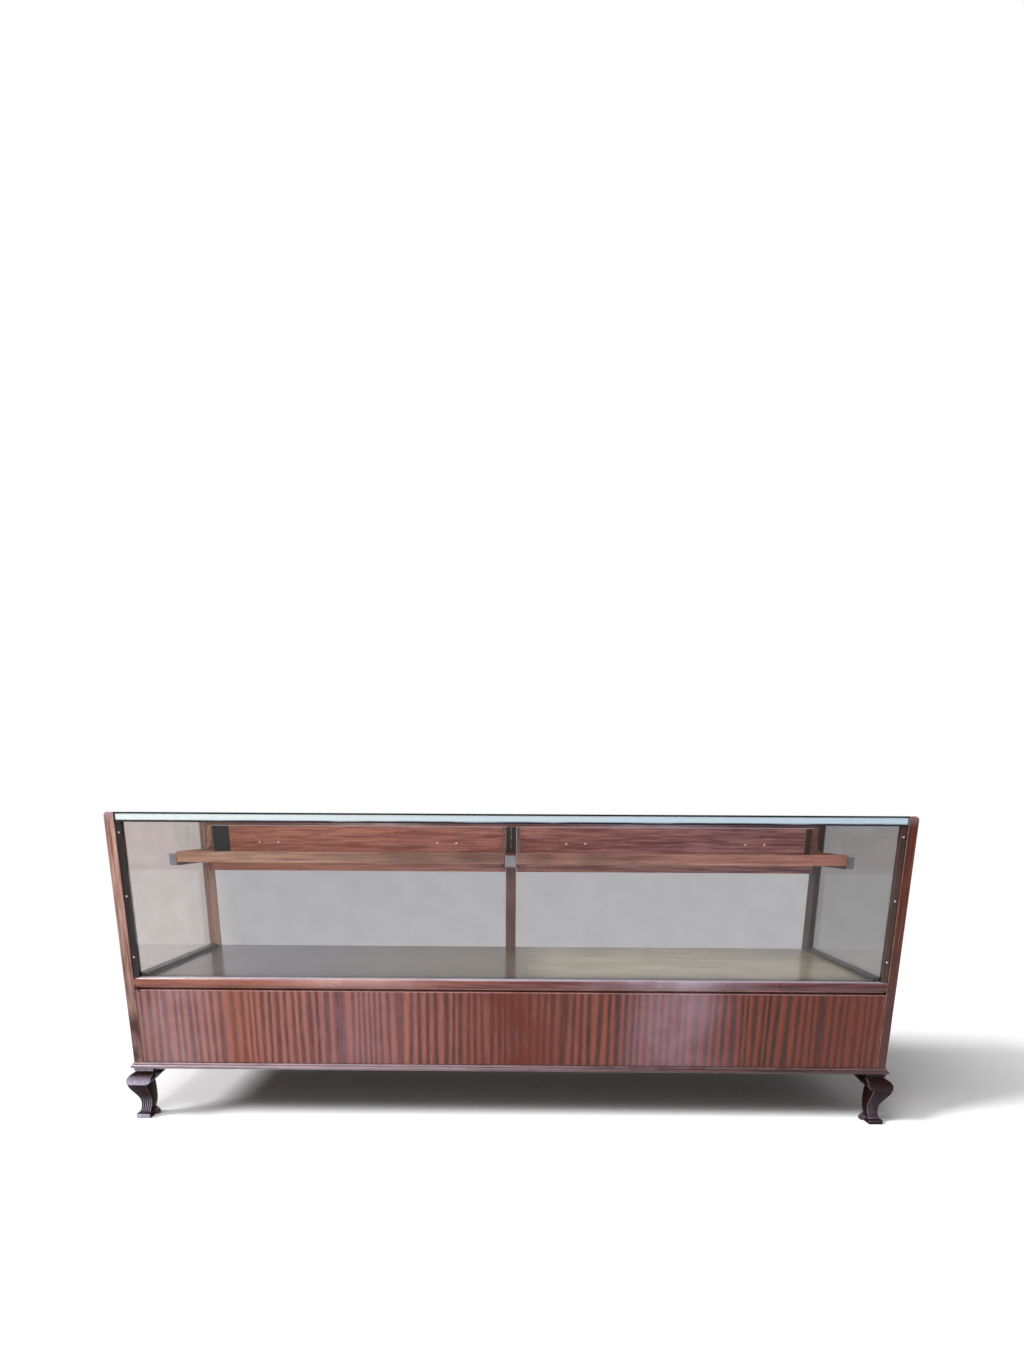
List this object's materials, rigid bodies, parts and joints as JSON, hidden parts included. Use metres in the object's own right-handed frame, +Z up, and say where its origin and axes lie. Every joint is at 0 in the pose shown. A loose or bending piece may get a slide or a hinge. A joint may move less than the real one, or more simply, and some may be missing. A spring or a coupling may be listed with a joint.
{
  "type": "shop counter",
  "caption": "Glazed mahogany display counter with a glass top, pull-out trays under it, a display deck, a panelled base with sliding doors behind and cabriole feet.",
  "frame": {"origin": "on the floor, under the middle of the counter", "axes": "+X along the counter, to the right as the customer sees it; +Y from the customer's side to the clerk's side; +Z up"},
  "size_m": [2.328, 0.592, 0.925],
  "materials": {
    "mahogany": "polished, red-brown",
    "ribbon_veneer": "polished veneer with upright stripes",
    "dark_mahogany": "stained near black, polished",
    "board_veneer": "satin veneer with level grain",
    "deck_wood": "worn gloss",
    "tray_wood": "satin, orange-brown",
    "black_bead": "ebonised, polished",
    "plate_glass": "clear, polished edges",
    "nickel": "polished, lightly worn",
    "brass": "aged"
  },
  "bodies": {
    "counter": {"front_stile_left": "mahogany", "front_stile_right": "mahogany", "back_post_left": "mahogany", "back_post_right": "mahogany", "centre_post": "mahogany", "front_mid_rail": "mahogany", "end_mid_rail_left": "mahogany", "end_mid_rail_right": "mahogany", "back_mid_rail_left": "mahogany", "back_mid_rail_right": "mahogany", "back_top_rail": "mahogany", "front_panel": "ribbon_veneer", "end_panel_left": "ribbon_veneer", "end_panel_right": "ribbon_veneer", "bottom_board": "mahogany", "partition": "mahogany", "deck": "deck_wood", "top_strip_front": "nickel", "top_strip_left": "nickel", "top_strip_right": "nickel", "top_glass": "plate_glass", "front_glass": "plate_glass", "end_glass_left": "plate_glass", "end_glass_right": "plate_glass", "base_moulding_front": "mahogany", "base_moulding_left": "mahogany", "base_moulding_right": "mahogany", "foot_front_left": "dark_mahogany", "foot_front_right": "dark_mahogany", "foot_back_left": "dark_mahogany", "foot_back_right": "dark_mahogany", "corner_bead_left": "black_bead", "corner_bead_right": "black_bead", "end_bead_left": "black_bead", "end_bead_right": "black_bead", "tray_arm_centre": "mahogany", "tray_arm_left": "mahogany", "tray_arm_right": "mahogany", "tray_runner_left_outer": "dark_mahogany", "tray_runner_left_inner": "dark_mahogany", "tray_runner_right_outer": "dark_mahogany", "tray_runner_right_inner": "dark_mahogany", "door_track_bottom": "dark_mahogany", "door_track_top": "dark_mahogany"},
    "tray_left": {"tray_left_board": "board_veneer", "tray_left_lip": "tray_wood", "tray_left_floor": "tray_wood", "tray_left_side_outer": "tray_wood", "tray_left_side_inner": "tray_wood", "tray_left_handle_1": "brass", "tray_left_handle_2": "brass"},
    "tray_right": {"tray_right_board": "board_veneer", "tray_right_lip": "tray_wood", "tray_right_floor": "tray_wood", "tray_right_side_outer": "tray_wood", "tray_right_side_inner": "tray_wood", "tray_right_handle_1": "brass", "tray_right_handle_2": "brass"},
    "door_left": {"door_left": "board_veneer"},
    "door_right": {"door_right": "board_veneer"}
  },
  "joints": [
    {"name": "tray_left_slide", "type": "slide", "parent": "counter", "child": "tray_left", "axis": [0, 1, 0], "range_m": [0, 0.2]},
    {"name": "tray_right_slide", "type": "slide", "parent": "counter", "child": "tray_right", "axis": [0, 1, 0], "range_m": [0, 0.2]},
    {"name": "door_left_slide", "type": "slide", "parent": "counter", "child": "door_left", "axis": [1, 0, 0], "range_m": [0, 1.067]},
    {"name": "door_right_slide", "type": "slide", "parent": "counter", "child": "door_right", "axis": [-1, 0, 0], "range_m": [0, 1.067]}
  ]
}
